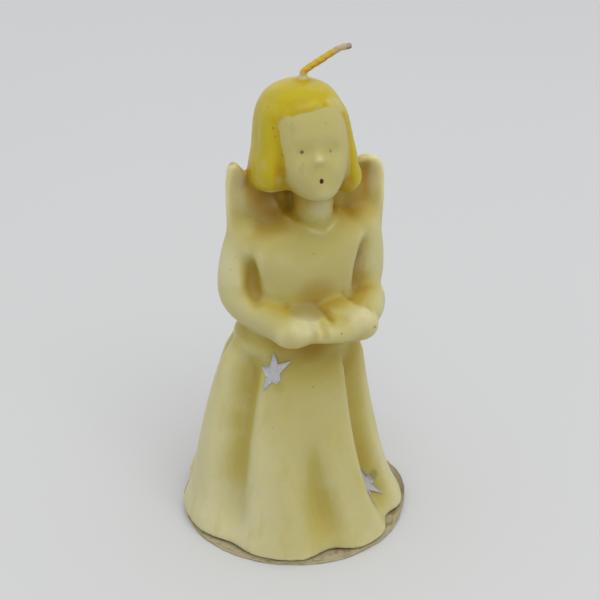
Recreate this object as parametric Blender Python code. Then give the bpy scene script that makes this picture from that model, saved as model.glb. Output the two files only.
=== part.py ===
# A moulded angel candle: a cream wax casting with a fluted dress, sleeves, hands round a small
# open book, a bobbed head and two short wings, on a card disc, with a wick through it and two
# foil stars. The figure faces -Y, stands on Z = 0 and has its origin under the disc's centre.

import math

import bmesh
import bpy
from mathutils import Matrix, Vector

MM = 0.001

# Fits
touch_gap = 0.3 * MM
bore_clearance = 0.3 * MM

# Card disc
disc_radius = 29.8 * MM
disc_thickness = 0.8 * MM
disc_waviness = 0.5 * MM
disc_curl = 1.3 * MM
disc_rim = 2.2 * MM
disc_curl_turn = math.radians(97.0)
disc_curl_spread = math.radians(26.0)

# Skirt
skirt_height = 46.0 * MM
hem_width = 58.6 * MM
hem_depth = 62.4 * MM
hem_round = 0.9 * MM
hem_foot = 0.8 * MM
hem_swell = 1.1 * MM
waist_width = 36.8 * MM
waist_depth = 28.0 * MM
skirt_flare = 0.85
skirt_sway = -2.1 * MM
left_hem_inset = 1.9 * MM
left_hem_turn = 97.0
left_hem_spread = 34.0
flute_depth = 5.0 * MM
# Each valley: degrees from the front, and its depth in flutes at the hem, low down and at the waist
valleys = (
    (-152.0, 0.52, 0.92, 0.64), (-112.0, 0.24, 0.64, 0.6), (-54.0, 0.32, 0.96, 1.0), (2.5, 0.4, 0.96, 0.0),
    (47.0, 0.6, 1.2, 0.76), (92.0, 0.52, 0.96, 0.64), (136.0, 0.52, 0.96, 0.64), (180.0, 0.52, 0.96, 0.64))

# Torso
lean = 3.0 * MM
torso_height = 34.0 * MM
chest_width = 25.2 * MM
chest_depth = 21.6 * MM
chest_aside = 1.7 * MM
shoulder_width = 33.0 * MM
shoulder_depth = 16.0 * MM

# Neck and neckline
neck_width = 10.2 * MM
neck_length = 7.0 * MM
neckline_width = 14.4 * MM
neckline_depth = 12.2 * MM
neckline_drop = 3.7 * MM
neckline_forward = 4.4 * MM
neckline_aside = 0.3 * MM

# Head, upright before it is tilted back
head_height = 29.6 * MM
head_width = 22.4 * MM
head_depth = 25.0 * MM
head_shift = -1.4 * MM
head_forward = 0.6 * MM
head_tilt = math.radians(15.0)
face_width = 17.6 * MM
face_depth = 18.8 * MM
face_shift = -1.5 * MM
nose_rise = 1.6 * MM
face_relief = 0.6 * MM
hair_gap_left = 8.2 * MM
hair_gap_right = 8.4 * MM
hair_lip = 0.7 * MM
hair_lip_width = 1.5 * MM
hair_edge = 1.3 * MM
# The fringe's edge over the forehead: across the face, and its height as a share of half the head
fringe = (
    (-9.0 * MM, 0.38), (-7.0 * MM, 0.45), (-3.0 * MM, 0.51), (0.5 * MM, 0.57),
    (2.2 * MM, 0.69), (4.6 * MM, 0.7), (6.6 * MM, 0.58), (8.6 * MM, 0.34))

# Sleeves, forearms and hands
shoulder_drop = 4.0 * MM
sleeve_width = 10.4 * MM
sleeve_span = 31.6 * MM
right_elbow_drop = 19.2 * MM
left_elbow_drop = 23.0 * MM
right_elbow_tuck = -0.6 * MM
left_elbow_tuck = 2.2 * MM
forearm_width = 8.6 * MM
hand_width = 7.8 * MM
hand_reach = 18.4 * MM
hand_drop = 22.0 * MM

# Open book
book_width = 16.6 * MM
book_depth = 9.0 * MM
book_thickness = 1.8 * MM
book_rise = 3.4 * MM
book_slope = math.radians(18.0)
leaf_slope = math.radians(14.0)

# Wings
wing_thickness = 3.4 * MM
wing_forward = 2.6 * MM
wing_turn = math.radians(10.0)
wing_reach = 20.0 * MM
wing_height = 29.0 * MM
wing_drop = 13.0 * MM
wing_root_depth = 4.4 * MM
wing_root_height = 10.5 * MM
wing_root_rise = 2.0 * MM
# Each wing's outline: share of its height, then its inner and outer edge as shares of the reach
right_wing_edges = (
    (0.0, 0.53, 0.9), (0.27, 0.57, 0.97), (0.55, 0.6, 0.985), (0.73, 0.62, 0.98),
    (0.87, 0.67, 0.97), (0.945, 0.73, 0.95), (0.986, 0.79, 0.915), (1.0, 0.84, 0.875))
left_wing_edges = (
    (0.0, 0.43, 0.95), (0.27, 0.41, 1.03), (0.48, 0.42, 1.05), (0.69, 0.48, 1.05),
    (0.79, 0.55, 1.04), (0.87, 0.62, 1.0), (0.91, 0.68, 0.94), (0.927, 0.74, 0.87))

# Wick
wick_diameter = 1.7 * MM
wick_lean = 2.1 * MM
wick_stub_rise = 7.2 * MM
wick_stub_reach = 10.5 * MM
wick_stub_turn = math.radians(-18.0)

# Foil stars
star_radius = 5.1 * MM
star_inner_share = 0.4
star_thickness = 0.25 * MM
star_standoff = 8.0 * MM
star_upper_level = 46.0 * MM
star_upper_place = math.radians(-39.0)
star_upper_facing = math.radians(-48.0)
star_upper_turn = math.radians(12.0)
star_upper_wrap = 0.74
star_lower_level = 10.5 * MM
star_lower_place = math.radians(46.0)
star_lower_facing = math.radians(30.0)
star_lower_turn = math.radians(22.0)
star_lower_wrap = 0.9

# Surface resolution of the casting
skin_step = 1.0 * MM
skin_facet_share = 0.23

# Levels that follow from the sizes
wax_bottom = disc_thickness + touch_gap
waist_level = wax_bottom + skirt_height
neck_level = waist_level + torso_height
chin_level = neck_level + neck_length
crown_level = chin_level + head_height
head_middle = chin_level + head_height / 2


def clear_scene():
    for item in list(bpy.data.objects):
        bpy.data.objects.remove(item, do_unlink=True)


def wax_like(name, colour, roughness, metallic=0.0):
    material = bpy.data.materials.new(name)
    material.use_nodes = True
    shader = material.node_tree.nodes["Principled BSDF"]
    shader.inputs["Base Color"].default_value = (*colour, 1.0)
    shader.inputs["Roughness"].default_value = roughness
    shader.inputs["Metallic"].default_value = metallic
    return material


def new_object(name, bm, material=None):
    mesh = bpy.data.meshes.new(name)
    bmesh.ops.recalc_face_normals(bm, faces=bm.faces)
    bm.to_mesh(mesh)
    bm.free()
    thing = bpy.data.objects.new(name, mesh)
    bpy.context.scene.collection.objects.link(thing)
    if material:
        mesh.materials.append(material)
    return thing


def cutter_object(name, bm):
    cutter = new_object(name, bm)
    cutter.hide_render = True
    cutter.display_type = "WIRE"
    return cutter


def smooth_step(value):
    value = max(0.0, min(1.0, value))
    return value * value * (3 - 2 * value)


def mix(first, second, share):
    return first + (second - first) * share


def hill(distance, width):
    """1 at the middle, falling off as a bell."""
    return math.exp(-(distance / width) ** 2)


def loft(bm, rings):
    """Skins a row of equal rings and closes both ends."""
    loops = [[bm.verts.new(point) for point in ring] for ring in rings]
    count = len(loops[0])
    for low, high in zip(loops, loops[1:]):
        for i in range(count):
            j = (i + 1) % count
            bm.faces.new((low[i], low[j], high[j], high[i]))
    bm.faces.new(list(reversed(loops[0])))
    bm.faces.new(loops[-1])


def section(centre, half_width, half_depth, squareness=2.0, count=48, inset=None):
    """A level ring round centre, a superellipse that starts at the front (-Y)."""
    ring = []
    for i in range(count):
        angle = 2 * math.pi * i / count
        across, along = math.sin(angle), math.cos(angle)
        x = math.copysign(abs(across) ** (2 / squareness), across) * half_width
        y = -math.copysign(abs(along) ** (2 / squareness), along) * half_depth
        if inset:
            length = math.hypot(x, y)
            share = 1 - inset(angle) / length
            x, y = x * share, y * share
        ring.append(Vector((centre[0] + x, centre[1] + y, centre[2])))
    return ring


def spline(points, per_span=5):
    """Catmull-Rom points through a short list of tuples of any length."""
    rows = [points[0], *points, points[-1]]
    result = []
    for a, b, c, d in zip(rows, rows[1:], rows[2:], rows[3:]):
        for step in range(per_span):
            s = step / per_span
            result.append(tuple(
                0.5 * (2 * q + (r - p) * s + (2 * p - 5 * q + 4 * r - t) * s * s
                       + (3 * q - p - 3 * r + t) * s ** 3)
                for p, q, r, t in zip(a, b, c, d)))
    result.append(tuple(points[-1]))
    return result


def limb(bm, stations, count=24, per_span=5):
    """A round tapering limb through stations of x, y, z, radius, with round ends."""
    rows = spline(stations, per_span)
    centres = [Vector(row[:3]) for row in rows]
    radii = [row[3] for row in rows]
    rings = []
    side = None
    for i, centre in enumerate(centres):
        ahead = centres[min(i + 1, len(centres) - 1)]
        behind = centres[max(i - 1, 0)]
        along = (ahead - behind).normalized()
        if side is None:
            side = along.orthogonal().normalized()
        side = (side - along * side.dot(along)).normalized()
        rings.append((centre, side.copy(), along.cross(side), radii[i], along))
    closed = []
    dome = [math.radians(a) for a in (70, 45, 20)]
    centre, side, other, radius, along = rings[0]
    for angle in dome:
        closed.append((centre - along * radius * math.sin(angle), side, other, radius * math.cos(angle)))
    closed += [(c, s, o, r) for c, s, o, r, a in rings]
    centre, side, other, radius, along = rings[-1]
    for angle in reversed(dome):
        closed.append((centre + along * radius * math.sin(angle), side, other, radius * math.cos(angle)))
    loft(bm, [[c + (s * math.cos(t) + o * math.sin(t)) * r
               for t in (2 * math.pi * k / count for k in range(count))]
              for c, s, o, r in closed])


def ball(bm, centre, radii, turn=None):
    """An ellipsoid, turned about its own centre."""
    place = Matrix.Translation(centre) @ (turn or Matrix()) @ Matrix.Diagonal((*radii, 1.0))
    bmesh.ops.create_uvsphere(bm, u_segments=32, v_segments=20, radius=1.0, matrix=place)


def middle(level):
    """The figure's middle in X: straight up to the waist, then leaning over to its left."""
    return lean * smooth_step((level - waist_level) / (0.35 * torso_height))


def stack(bm, stations, rings, count=48, change=None):
    """Level rings through stations of level, x, y, half width, half depth and squareness.

    change moves each point of the finished rings.
    """
    rows = spline(stations, max(1, round(rings / (len(stations) - 1))))
    loops = [section((x, y, level), width, depth, square, count)
             for level, x, y, width, depth, square in rows]
    if change:
        loops = [[change(point) for point in ring] for ring in loops]
    loft(bm, loops)


def valley_cut(angle, share):
    """How far the skirt is cut in at this angle, at this share of its height."""
    turn = math.degrees((angle + math.pi) % (2 * math.pi) - math.pi)
    last = valleys[-1]
    stops = [(last[0] - 360.0, *last[1:]), *valleys]
    for low, high in zip(stops, stops[1:]):
        if low[0] <= turn <= high[0]:
            phase = (turn - low[0]) / (high[0] - low[0])
            nearest = low if phase < 0.5 else high
            break
    else:
        phase, nearest = 0.0, last
    hem, lower, waist = (depth * flute_depth for depth in nearest[1:])
    depth = mix(mix(hem, lower, smooth_step(share / 0.2)), waist, smooth_step((share - 0.2) / 0.62))
    depth *= 1.0 - smooth_step((share - 0.95) / 0.28)
    narrowness = mix(2.4, 1.7, min(1.0, share))
    wave = (0.5 + 0.5 * math.cos(2 * math.pi * phase)) ** narrowness
    left_side = hill(turn - left_hem_turn, left_hem_spread) * smooth_step(1.0 - share / 0.6)
    return wave * depth + left_hem_inset * left_side


def skirt(bm):
    rings = []
    levels = [0.0, 0.006, 0.02, 0.04, 0.06] + [0.1 + 0.045 * i for i in range(27)]
    for share in levels:
        level = wax_bottom + skirt_height * share
        taper = min(1.0, share) ** skirt_flare
        half_width = mix(hem_width, waist_width, taper) / 2
        half_depth = mix(hem_depth, waist_depth, taper) / 2
        rise = min(1.0, skirt_height * share / hem_round)
        tuck = hem_round * (1 - math.sqrt(1 - (1 - rise) ** 2)) * 0.8
        grow = hem_swell * hill(share - 0.07, 0.08) + hem_foot * hill(share, 0.05) - tuck
        sway = skirt_sway * math.sin(0.88 * math.pi * min(1.0, share) ** 0.9)
        dome = mix(1.0, 0.6, smooth_step((share - 0.94) / 0.34))
        centre = (sway + middle(level), 0.0, level)
        rings.append(section(centre, (half_width + grow) * dome, (half_depth + grow) * dome, 2.0, 144,
                             lambda angle, share=share: valley_cut(angle, share)))
    loft(bm, rings)


def torso(bm):
    rows = (
        (-0.12, 0.78 * waist_width, 0.78 * waist_depth, 2.0, 0.0),
        (0.04, 0.8 * waist_width, 0.84 * waist_depth, 2.0, 0.0),
        (0.13, mix(chest_width, waist_width, 0.6), mix(chest_depth, waist_depth, 0.5), 2.2, 0.0),
        (0.24, mix(chest_width, waist_width, 0.25), mix(chest_depth, waist_depth, 0.2), 2.6, 0.0),
        (0.45, chest_width, chest_depth, 3.0, 0.01),
        (0.64, 1.04 * chest_width, 0.98 * chest_depth, 2.9, 0.02),
        (0.78, mix(chest_width, shoulder_width, 0.6), 0.94 * chest_depth, 2.7, 0.03),
        (0.88, shoulder_width, 0.84 * chest_depth, 2.5, 0.04),
        (0.96, 0.86 * shoulder_width, shoulder_depth, 2.2, 0.04),
        (1.03, 0.6 * shoulder_width, 0.8 * shoulder_depth, 2.0, 0.05),
        (1.10, 0.36 * shoulder_width, 0.6 * shoulder_depth, 2.0, 0.06),
    )
    stations = []
    for share, width, depth, squareness, back in rows:
        level = waist_level + share * torso_height
        aside = chest_aside * smooth_step(share / 0.4) * smooth_step((1.1 - share) / 0.3)
        stations.append((level, middle(level) - aside, back * chest_depth, width / 2, depth / 2, squareness))
    stack(bm, stations, 40, 72)


def neck(bm):
    x = lean + 0.12 * neck_width
    y = -0.18 * neck_width
    stations = []
    for share, spread in ((-0.4, 1.5), (-0.1, 1.24), (0.3, 1.01), (0.9, 0.97), (1.6, 1.0)):
        level = neck_level + share * neck_length
        stations.append((level, x, y, spread * neck_width / 2, spread * neck_width / 2, 2.0))
    stack(bm, stations, 16, 40)


def neckline(bm):
    """The dress's edge round the neck, which dips to a V at the front."""
    rings = []
    front = math.radians(70)
    for rise, spread in ((-6.0 * MM, 1.06), (-2.4 * MM, 1.08), (-0.7 * MM, 1.06), (0.0, 0.96)):
        ring = section((lean + neckline_aside, -neckline_forward, 0.0), spread * neckline_width / 2,
                       spread * neckline_depth / 2, 2.0, 48)
        for i, point in enumerate(ring):
            turn = abs((i / 48 + 0.5) % 1.0 - 0.5) * 2 * math.pi
            point.z = neck_level + neckline_drop + rise - neckline_drop * max(0.0, 1.0 - turn / front)
        rings.append(ring)
    loft(bm, rings)


def on_head(point):
    """From the head's own upright axes to the head tilted back on the neck."""
    place = Matrix.Translation((lean, -head_forward, head_middle)) @ Matrix.Rotation(-head_tilt, 4, "X")
    return place @ point


def face_opening(x, z):
    """How far inside the gap in the hair a place of the face is."""
    top = fringe[0][1] if x < 0 else fringe[-1][1]
    for (low_x, low), (high_x, high) in zip(fringe, fringe[1:]):
        if low_x <= x <= high_x:
            top = mix(low, high, (x - low_x) / (high_x - low_x))
    spread = 0.11 * hair_gap_left * smooth_step(0.5 - z / (0.8 * head_height / 2))
    return min(x + hair_gap_left + spread, hair_gap_right - x, top * head_height / 2 - z)


def face(bm):
    """A stack with the forehead, cheeks and chin in its stations, and relief pushed forward."""
    half_height, half_width, half_depth = head_height / 2, face_width / 2, face_depth / 2
    shares = ((-0.965, 0.09, 0.13, -0.69), (-0.94, 0.34, 0.49, -0.64), (-0.85, 0.57, 0.69, -0.55),
              (-0.69, 0.77, 0.84, -0.47), (-0.445, 0.91, 0.95, -0.38), (-0.16, 0.99, 0.98, -0.34),
              (0.135, 1.0, 1.0, -0.32), (0.405, 0.98, 0.99, -0.28), (0.64, 0.91, 0.87, -0.21),
              (0.81, 0.74, 0.64, -0.11), (0.905, 0.34, 0.32, 0.0))
    stations = [(z * half_height, face_shift, y * half_depth, width * half_width, depth * half_depth, 2.4)
                for z, width, depth, y in shares]

    def change(point):
        x = (point.x - face_shift) / half_width
        z = point.z / half_height
        bridge = 0.5 * hill(x, 0.13) * smooth_step((z + 0.36) / 0.08) * smooth_step(-z / 0.2)
        nose = hill(x, 0.15) * hill(z + 0.3, 0.09) + bridge
        relief = (0.4 * hill(z - 0.15, 0.13) * hill(x, 0.74) - hill(abs(x) - 0.39, 0.23) * hill(z + 0.09, 0.1)
                  + 0.7 * hill(x, 0.23) * hill(z + 0.57, 0.09) + 0.8 * hill(x, 0.3) * hill(z + 0.81, 0.11)
                  + 0.7 * hill(abs(x) - 0.5, 0.27) * hill(z + 0.43, 0.18))
        on_front = smooth_step((-0.65 - point.y / half_depth) / 0.32)
        forward = (nose_rise * nose + face_relief * relief) * on_front
        return on_head(Vector((point.x, point.y - forward, point.z)))

    stack(bm, stations, 60, 72, change)


def hair(bm):
    """A bobbed cap, drawn in behind the face wherever the face shows."""
    half_height, half_width, half_depth = head_height / 2, head_width / 2, head_depth / 2
    shares = ((-0.77, 0.59, 0.48, 0.22), (-0.81, 0.84, 0.7, 0.2), (-0.785, 1.0, 0.85, 0.18),
              (-0.66, 1.12, 0.94, 0.14),
              (-0.5, 1.15, 0.98, 0.11), (-0.31, 1.12, 0.99, 0.1), (-0.1, 1.04, 1.0, 0.08),
              (0.17, 0.98, 1.01, 0.07), (0.42, 0.92, 0.98, 0.06), (0.61, 0.82, 0.88, 0.06),
              (0.77, 0.66, 0.7, 0.06), (0.87, 0.44, 0.46, 0.06), (0.935, 0.18, 0.18, 0.06))
    stations = [(z * half_height, head_shift, y * half_depth, width * half_width, depth * half_depth, 2.15)
                for z, width, depth, y in shares]

    def change(point):
        opening = face_opening(point.x - face_shift, point.z)
        front = smooth_step((-0.08 * half_depth - point.y) / (0.24 * half_depth))
        lip = hair_lip * hill(opening + hair_lip_width, hair_lip_width) * front
        inside = smooth_step(opening / hair_edge + 0.23) * front
        scale = 1 + lip / half_depth - 0.34 * inside
        return on_head(Vector((head_shift + (point.x - head_shift) * scale,
                               0.08 * half_depth + (point.y - 0.08 * half_depth) * scale, point.z)))

    stack(bm, stations, 72, 120, change)


def arm(bm, side, elbow_drop, elbow_tuck):
    """Sleeve, forearm and hand; side is -1 for the figure's right arm."""
    half_span = sleeve_span / 2
    shoulder = neck_level - shoulder_drop
    elbow = neck_level - elbow_drop
    sleeve = sleeve_width / 2
    forearm = forearm_width / 2
    grip = neck_level - hand_drop
    limb(bm, [
        (lean + side * (half_span - 0.23 * sleeve), 0.42 * sleeve, shoulder, 0.98 * sleeve),
        (lean + side * (half_span + 0.12 * sleeve - 0.4 * elbow_tuck), 0.27 * sleeve,
         mix(shoulder, elbow, 0.5), 1.02 * sleeve),
        (lean + side * (half_span + 0.1 * sleeve - elbow_tuck), 0.0,
         mix(shoulder, elbow, 0.88), 1.04 * sleeve),
        (lean + side * 0.95 * half_span, -0.23 * hand_reach, mix(elbow, grip, 0.45), 0.95 * sleeve),
        (lean + side * 0.68 * half_span, -0.62 * hand_reach, mix(elbow, grip, 0.75), forearm),
        (lean + side * 0.37 * half_span, -0.9 * hand_reach, mix(elbow, grip, 0.95), 0.93 * forearm),
        (lean + side * 0.19 * half_span, -hand_reach, grip, 0.9 * hand_width / 2),
    ])


def hands(bm):
    """Two hands with their fingers laid together, and the wax that joins them to the chest."""
    grip = neck_level - hand_drop
    hand = hand_width / 2
    ball(bm, (lean - 1.33 * hand, -0.97 * hand_reach, grip - 0.15 * hand), (1.33 * hand, hand, 1.05 * hand))
    ball(bm, (lean + 1.95 * hand, -0.88 * hand_reach, grip + 0.05 * hand), (1.38 * hand, hand, 1.08 * hand))
    limb(bm, [
        (lean - 1.7 * hand, -0.98 * hand_reach, grip, 0.7 * hand),
        (lean - 0.5 * hand, -1.05 * hand_reach, grip, 0.72 * hand),
        (lean + 0.8 * hand, -1.03 * hand_reach, grip, 0.74 * hand),
        (lean + 2.0 * hand, -0.92 * hand_reach, grip, 0.8 * hand),
    ])
    ball(bm, (lean, -0.49 * hand_reach, grip - 0.15 * hand),
         (0.38 * sleeve_span, 0.47 * hand_reach, 1.23 * hand))
    ball(bm, (lean, -0.79 * hand_reach, grip + 0.15 * hand), (2.3 * hand, hand, 0.8 * hand))


def open_book(bm):
    """Two leaves that rise from the gutter, leaning against the chest."""
    level = neck_level - hand_drop + book_rise
    for side in (-1, 1):
        place = (Matrix.Translation((lean, -0.76 * hand_reach, level))
                 @ Matrix.Rotation(-book_slope, 4, "X")
                 @ Matrix.Rotation(-side * leaf_slope, 4, "Y")
                 @ Matrix.Translation((side * book_width / 4, 0, 0))
                 @ Matrix.Diagonal((book_width / 2, book_depth, book_thickness, 1.0)))
        bmesh.ops.create_cube(bm, size=1.0, matrix=place)


def wing(bm, side, edges):
    """A short upright wing; edges gives its inner and outer edge as shares of the reach."""
    stations = []
    for share, inner, outer in edges:
        level = neck_level - wing_drop + share * wing_height
        x = lean + side * wing_reach * (inner + outer) / 2
        stations.append((level, x, wing_forward, wing_reach * (outer - inner) / 2,
                         wing_thickness / 2 * (1.15 - 0.3 * share), 2.8))
    pivot = Matrix.Translation((lean + side * 0.75 * wing_reach, wing_forward, 0.0))
    turn = pivot @ Matrix.Rotation(-side * wing_turn, 4, "Z") @ pivot.inverted()
    stack(bm, stations, 42, 40, lambda point: turn @ point)


def wing_root(bm):
    """The wax behind the neck that the wings grow out of."""
    ball(bm, (lean, wing_forward + 0.5 * wing_root_depth, neck_level + wing_root_rise),
         (0.66 * wing_reach, wing_root_depth, wing_root_height))


def wick_stations():
    """The wick's line, from the casting's underside to the tip of the bent stub."""
    root = crown_level - 0.3 * MM
    start = wax_bottom + wick_diameter / 2
    points = [(wick_lean * share, 0.0, mix(start, root, share)) for share in (0.0, 0.3, 0.6, 0.9, 0.97)]
    bend = ((0.0, 0.0), (0.03, 0.16), (0.18, 0.34), (0.37, 0.52), (0.59, 0.74), (0.81, 0.93), (1.0, 1.0))
    for reach, rise in bend:
        out = reach * wick_stub_reach
        points.append((wick_lean + out * math.cos(wick_stub_turn), out * math.sin(wick_stub_turn),
                       root + rise * wick_stub_rise))
    return points


def make_wick():
    bm = bmesh.new()
    limb(bm, [(*point, wick_diameter / 2) for point in wick_stations()], 12, 3)
    return new_object("wick", bm, wax_like("waxed_wick", (0.62, 0.42, 0.06), 0.6))


def make_bore():
    """The way that the wick takes through the casting, with its clearance."""
    bm = bmesh.new()
    low = Vector(wick_stations()[0])
    high = Vector((wick_lean, 0.0, crown_level))
    reach = (high - low).normalized() * 4.0 * MM
    radius = wick_diameter / 2 + bore_clearance
    limb(bm, [(*(low - reach), radius), (*high, radius), (*(high + reach), radius)], 16, 1)
    return cutter_object("wick_bore", bm)


def make_underside_cutter():
    bm = bmesh.new()
    size = 3 * disc_radius
    place = Matrix.Translation((0, 0, wax_bottom - size / 2)) @ Matrix.Diagonal((size, size, size, 1.0))
    bmesh.ops.create_cube(bm, size=1.0, matrix=place)
    return cutter_object("underside_cutter", bm)


def make_wax_figure():
    bm = bmesh.new()
    skirt(bm)
    torso(bm)
    neck(bm)
    neckline(bm)
    face(bm)
    hair(bm)
    arm(bm, -1, right_elbow_drop, right_elbow_tuck)
    arm(bm, 1, left_elbow_drop, left_elbow_tuck)
    hands(bm)
    open_book(bm)
    wing(bm, -1, right_wing_edges)
    wing(bm, 1, left_wing_edges)
    wing_root(bm)
    figure = new_object("wax_figure", bm, wax_like("cream_wax", (0.62, 0.52, 0.22), 0.45))

    skin = figure.modifiers.new("one_casting", "REMESH")
    skin.mode = "VOXEL"
    skin.voxel_size = skin_step
    skin.use_smooth_shade = True
    soften = figure.modifiers.new("soft_creases", "SMOOTH")
    soften.factor = 0.5
    soften.iterations = 3
    thin = figure.modifiers.new("fewer_facets", "DECIMATE")
    thin.ratio = skin_facet_share
    for name, cutter in (("flat_underside", make_underside_cutter()), ("wick_bore", make_bore())):
        cut = figure.modifiers.new(name, "BOOLEAN")
        cut.operation = "DIFFERENCE"
        cut.solver = "EXACT"
        cut.object = cutter
    return figure


def make_base_disc():
    """A thin card disc with a wavy torn edge that curls up beside the hem."""
    bm = bmesh.new()
    count = 96
    shares = (0.0, 0.5, 1.0)

    def edge_radius(angle):
        wave = 0.5 * math.sin(3 * angle + 0.8) + 0.3 * math.sin(7 * angle + 2.0) + 0.2 * math.sin(13 * angle)
        return disc_radius + disc_waviness * wave

    def edge_lift(angle):
        return disc_curl * hill(angle - disc_curl_turn, disc_curl_spread)

    top, bottom = [], []
    for share in shares:
        for rows, height in ((top, disc_thickness), (bottom, 0.0)):
            ring = []
            for i in range(count):
                angle = 2 * math.pi * i / count
                if angle > math.pi:
                    angle -= 2 * math.pi
                radius = mix(disc_radius - disc_rim, edge_radius(angle), share)
                lift = edge_lift(angle) * share ** 2
                ring.append((radius * math.sin(angle), -radius * math.cos(angle), height + lift))
            rows.append(ring)
    loft(bm, [*bottom, *reversed(top)])
    return new_object("base_disc", bm, wax_like("card", (0.52, 0.4, 0.2), 0.85))


def make_star(name, figure, angle, facing, level, turn, wrap_share, tips):
    """A foil star wrapped on the skirt at an angle and level, pressed on from where it faces.

    wrap_share is the width left to see once its arms follow the flute, and tips gives each
    arm's length as a share, from the top arm on.
    """
    bm = bmesh.new()
    outline = []
    for i, tip in enumerate(tips):
        middle_angle = math.radians(90 + 72 * i)
        blunt = math.radians(9) if 0.45 < tip < 1.0 else 0.0
        for side in ((-1, 1) if blunt else (0,)):
            outline.append((tip * star_radius, middle_angle + side * blunt))
        outline.append((star_inner_share * star_radius, middle_angle + math.radians(36)))
    rim = [bm.verts.new((wrap_share * r * math.cos(a + turn), r * math.sin(a + turn), 0.0))
           for r, a in outline]
    hub = bm.verts.new((0, 0, 0))
    for first, second in zip(rim, rim[1:] + rim[:1]):
        bm.faces.new((hub, first, second))
    bmesh.ops.subdivide_edges(bm, edges=bm.edges, cuts=3, use_grid_fill=True)
    star = new_object(name, bm, wax_like(name + "_foil", (0.42, 0.42, 0.44), 0.35, 1.0))

    away = Vector((math.sin(facing), -math.cos(facing), 0.0))
    across = Vector((math.cos(facing), math.sin(facing), 0.0))
    share = (level - wax_bottom) / skirt_height
    radius = mix(hem_width, waist_width, share) / 2 - flute_depth / 2
    spot = Vector((radius * math.sin(angle), -radius * math.cos(angle), level)) + away * star_standoff
    upright = Matrix((across, Vector((0, 0, 1)), away)).transposed().to_4x4()
    star.matrix_world = Matrix.Translation(spot) @ upright

    wrap = star.modifiers.new("on_the_wax", "SHRINKWRAP")
    wrap.target = figure
    wrap.wrap_method = "PROJECT"
    wrap.wrap_mode = "ABOVE_SURFACE"
    wrap.use_project_z = True
    wrap.use_negative_direction = True
    wrap.use_positive_direction = False
    wrap.offset = touch_gap
    foil = star.modifiers.new("foil", "SOLIDIFY")
    foil.thickness = star_thickness
    foil.offset = 1.0
    return star


clear_scene()
casting = make_wax_figure()
make_wick()
make_base_disc()
make_star("star_upper", casting, star_upper_place, star_upper_facing, star_upper_level,
          star_upper_turn, star_upper_wrap, (1, 1, 1, 0.62, 1))
make_star("star_lower", casting, star_lower_place, star_lower_facing, star_lower_level,
          star_lower_turn, star_lower_wrap, (1, 1, 1, 1, 0.42))
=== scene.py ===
# Angel candle: a moulded wax figure on a card disc, with a waxed wick and two foil stars.
import math

import bmesh
import bpy
import numpy as np
from mathutils import Matrix, Vector


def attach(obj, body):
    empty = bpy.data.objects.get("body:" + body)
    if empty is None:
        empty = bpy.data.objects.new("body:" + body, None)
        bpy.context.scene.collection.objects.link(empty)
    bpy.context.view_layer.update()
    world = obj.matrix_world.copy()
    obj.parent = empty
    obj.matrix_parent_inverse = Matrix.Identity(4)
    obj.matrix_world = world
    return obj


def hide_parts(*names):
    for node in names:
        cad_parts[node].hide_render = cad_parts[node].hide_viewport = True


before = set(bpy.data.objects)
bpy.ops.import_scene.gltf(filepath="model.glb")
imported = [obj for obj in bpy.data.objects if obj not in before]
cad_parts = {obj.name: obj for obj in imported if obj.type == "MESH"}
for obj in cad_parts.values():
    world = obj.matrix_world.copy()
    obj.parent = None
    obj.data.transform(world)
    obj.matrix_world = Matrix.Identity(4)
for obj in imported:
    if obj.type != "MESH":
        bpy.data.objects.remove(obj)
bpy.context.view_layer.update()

mm = 0.001
print("frame loaded:", sorted(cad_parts))


# Small helpers on whole arrays. Every length in them is in millimetres.

def mixed(first, second, share):
    return first + (second - first) * share


def eased(value):  # 0 below 0, 1 above 1, and a smooth S between
    value = np.clip(value, 0.0, 1.0)
    return value * value * (3.0 - 2.0 * value)


def hill(distance, width):  # 1 at the middle, falling off as a bell
    return np.exp(-(distance / width) ** 2)


def softMin(first, second, rounding):  # the lower of two, with the corner rounded off
    return -rounding * np.logaddexp(-first / rounding, -second / rounding)


def splined(stations, count):
    # Catmull-Rom curve through the stations, at count even steps of the station number.
    rows = np.asarray(stations, float)
    rows = np.vstack([2 * rows[0] - rows[1], rows, 2 * rows[-1] - rows[-2]])
    place = np.linspace(0.0, len(rows) - 3 - 1e-9, count)
    cell = place.astype(int)
    s = (place - cell)[:, None]
    p, q, r, t = rows[cell], rows[cell + 1], rows[cell + 2], rows[cell + 3]
    return 0.5 * (2 * q + (r - p) * s + (2 * p - 5 * q + 4 * r - t) * s ** 2
                  + (3 * q - p - 3 * r + t) * s ** 3)


def anglesRound(count):
    return np.linspace(0.0, 2 * math.pi, count, endpoint=False)


def powered(value, power):
    return np.sign(value) * np.abs(value) ** power


def stack(stations, rings=48, columns=96):
    # Level rings one above another. A station is level, middle x, middle y, half width,
    # half depth and squareness, and a ring is the superellipse of those sizes.
    rows = splined(stations, rings)
    level, middleX, middleY, halfWidth, halfDepth, square = rows.T[:, :, None]
    angle = anglesRound(columns)[None, :]
    x = middleX + powered(np.sin(angle), 2 / square) * np.maximum(halfWidth, 0.01)
    y = middleY - powered(np.cos(angle), 2 / square) * np.maximum(halfDepth, 0.01)
    return np.stack([x, y, np.broadcast_to(level, x.shape)], -1)


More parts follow.
